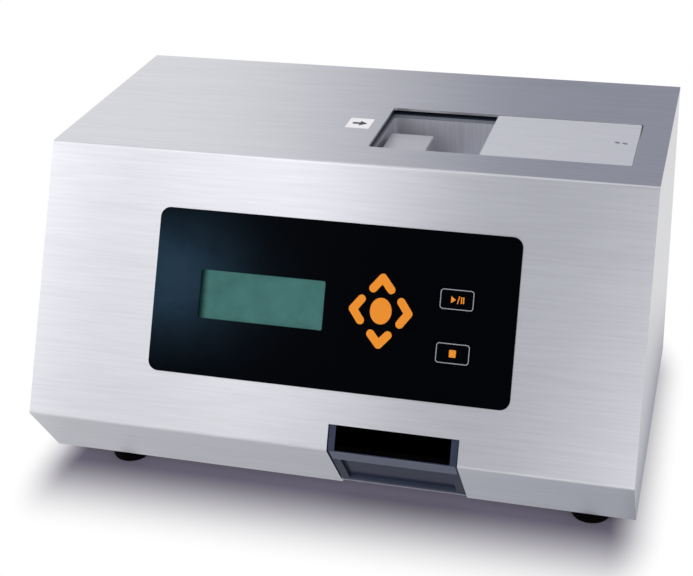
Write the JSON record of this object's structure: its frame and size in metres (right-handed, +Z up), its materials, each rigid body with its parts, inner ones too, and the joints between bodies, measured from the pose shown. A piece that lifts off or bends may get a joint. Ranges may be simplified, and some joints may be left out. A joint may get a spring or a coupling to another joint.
{
  "type": "tablet hardness tester",
  "caption": "Bench tester with a folded steel case, leaning keypad and display, a sliding lid over a test well with a screw-driven jaw, and a pull-out debris tray.",
  "frame": {"origin": "on the bench surface, under the middle of the case's bounding box", "axes": "+X to the right seen from the front, +Y towards the back, +Z up"},
  "size_m": [0.36, 0.2366, 0.1991],
  "materials": {
    "case_steel": "brushed along X, satin",
    "foot_rubber": "matt",
    "plated_steel": "bright zinc plate",
    "black_film": "gloss",
    "board_green": "solder mask",
    "black_plastic": "fine texture",
    "clear_window": "clear, gloss",
    "lcd_green": "gloss",
    "lid_steel": "fine satin",
    "runner_plastic": "matt dark slate",
    "well_steel": "brushed",
    "machined_aluminium": "machined",
    "ground_steel": "ground and polished",
    "motor_black": "satin black",
    "bronze": "machined",
    "tray_plastic": "slate, moulded",
    "ribbon_grey": "matt",
    "label_white": "matt",
    "key_film": "gloss",
    "orange_film": "satin gloss"
  },
  "bodies": {
    "housing": {"cover": "case_steel", "left_side_panel": "case_steel", "right_side_panel": "case_steel", "base_plate": "case_steel", "rear_panel": "case_steel", "feet": "foot_rubber", "large_screws": "plated_steel", "small_screws": "plated_steel", "keypad_overlay": "black_film", "key_board": "board_green", "tact_switches": "black_plastic", "display_window": "clear_window", "display_glass": "lcd_green", "display_frame": "plated_steel", "display_board": "board_green", "board_standoffs": "plated_steel", "lid_frame": "runner_plastic", "inner_deck": "lid_steel", "test_bed": "well_steel", "bed_posts": "machined_aluminium", "anvil": "lid_steel", "drive_plate": "machined_aluminium", "drive_pillars": "machined_aluminium", "left_bearing_block": "machined_aluminium", "right_bearing_block": "machined_aluminium", "screw_bearings": "ground_steel", "guide_rods": "ground_steel", "stepper_motor": "motor_black", "motor_bracket": "machined_aluminium", "ram_bush": "bronze", "load_cell": "machined_aluminium", "load_cell_bracket": "machined_aluminium", "debris_chute": "well_steel", "tray_guides": "black_plastic", "control_board": "board_green", "power_supply": "plated_steel", "mains_inlet": "black_plastic", "power_switch_frame": "black_plastic", "serial_port": "plated_steel", "keypad_ribbon": "ribbon_grey", "arrow_label": "label_white"},
    "lid": {"slide_lid": "lid_steel"},
    "tray": {"debris_tray": "tray_plastic"},
    "jaw": {"moving_jaw": "lid_steel", "jaw_ram": "ground_steel", "jaw_carriage": "machined_aluminium", "carriage_bushes": "bronze", "lead_nut": "bronze"},
    "drive_screw": {"lead_screw": "ground_steel", "shaft_coupling": "machined_aluminium", "motor_shaft": "ground_steel"},
    "rocker": {"power_rocker": "black_plastic"},
    "key_up_pad": {"key_up": "key_film"},
    "key_down_pad": {"key_down": "key_film"},
    "key_left_pad": {"key_left": "key_film"},
    "key_right_pad": {"key_right": "key_film"},
    "key_enter_pad": {"key_enter": "orange_film"},
    "key_start_pad": {"key_start": "key_film"},
    "key_stop_pad": {"key_stop": "key_film"}
  },
  "joints": [
    {"name": "lid_slide", "type": "slide", "parent": "housing", "child": "lid", "axis": [-1, 0, 0], "range_m": [0, 0.0657]},
    {"name": "tray_slide", "type": "slide", "parent": "housing", "child": "tray", "axis": [0, -1, 0], "range_m": [0, 0.11]},
    {"name": "jaw_slide", "type": "slide", "parent": "housing", "child": "jaw", "axis": [1, 0, 0], "range_m": [0, 0.034]},
    {"name": "screw_turn", "type": "hinge", "parent": "housing", "child": "drive_screw", "pos_m": [-0.0888, 0.01204, 0.152], "axis": [1, 0, 0], "range_deg": [0, 3061]},
    {"name": "rocker_tilt", "type": "hinge", "parent": "housing", "child": "rocker", "pos_m": [-0.072, 0.10934, 0.045], "axis": [1, 0, 0], "range_deg": [0, 16]},
    {"name": "key_up_press", "type": "slide", "parent": "housing", "child": "key_up_pad", "axis": [0, 0.9056, -0.424], "range_m": [0, 0.0004], "stiffness_N_per_m": 800, "springref_m": -0.0005},
    {"name": "key_down_press", "type": "slide", "parent": "housing", "child": "key_down_pad", "axis": [0, 0.9056, -0.424], "range_m": [0, 0.0004], "stiffness_N_per_m": 800, "springref_m": -0.0005},
    {"name": "key_left_press", "type": "slide", "parent": "housing", "child": "key_left_pad", "axis": [0, 0.9056, -0.424], "range_m": [0, 0.0004], "stiffness_N_per_m": 800, "springref_m": -0.0005},
    {"name": "key_right_press", "type": "slide", "parent": "housing", "child": "key_right_pad", "axis": [0, 0.9056, -0.424], "range_m": [0, 0.0004], "stiffness_N_per_m": 800, "springref_m": -0.0005},
    {"name": "key_enter_press", "type": "slide", "parent": "housing", "child": "key_enter_pad", "axis": [0, 0.9056, -0.424], "range_m": [0, 0.0004], "stiffness_N_per_m": 800, "springref_m": -0.0005},
    {"name": "key_start_press", "type": "slide", "parent": "housing", "child": "key_start_pad", "axis": [0, 0.9056, -0.424], "range_m": [0, 0.0004], "stiffness_N_per_m": 800, "springref_m": -0.0005},
    {"name": "key_stop_press", "type": "slide", "parent": "housing", "child": "key_stop_pad", "axis": [0, 0.9056, -0.424], "range_m": [0, 0.0004], "stiffness_N_per_m": 800, "springref_m": -0.0005}
  ],
  "couplings": [
    {"joint": "screw_turn", "follows": "jaw_slide", "rad_per_m": 1570.8}
  ]
}
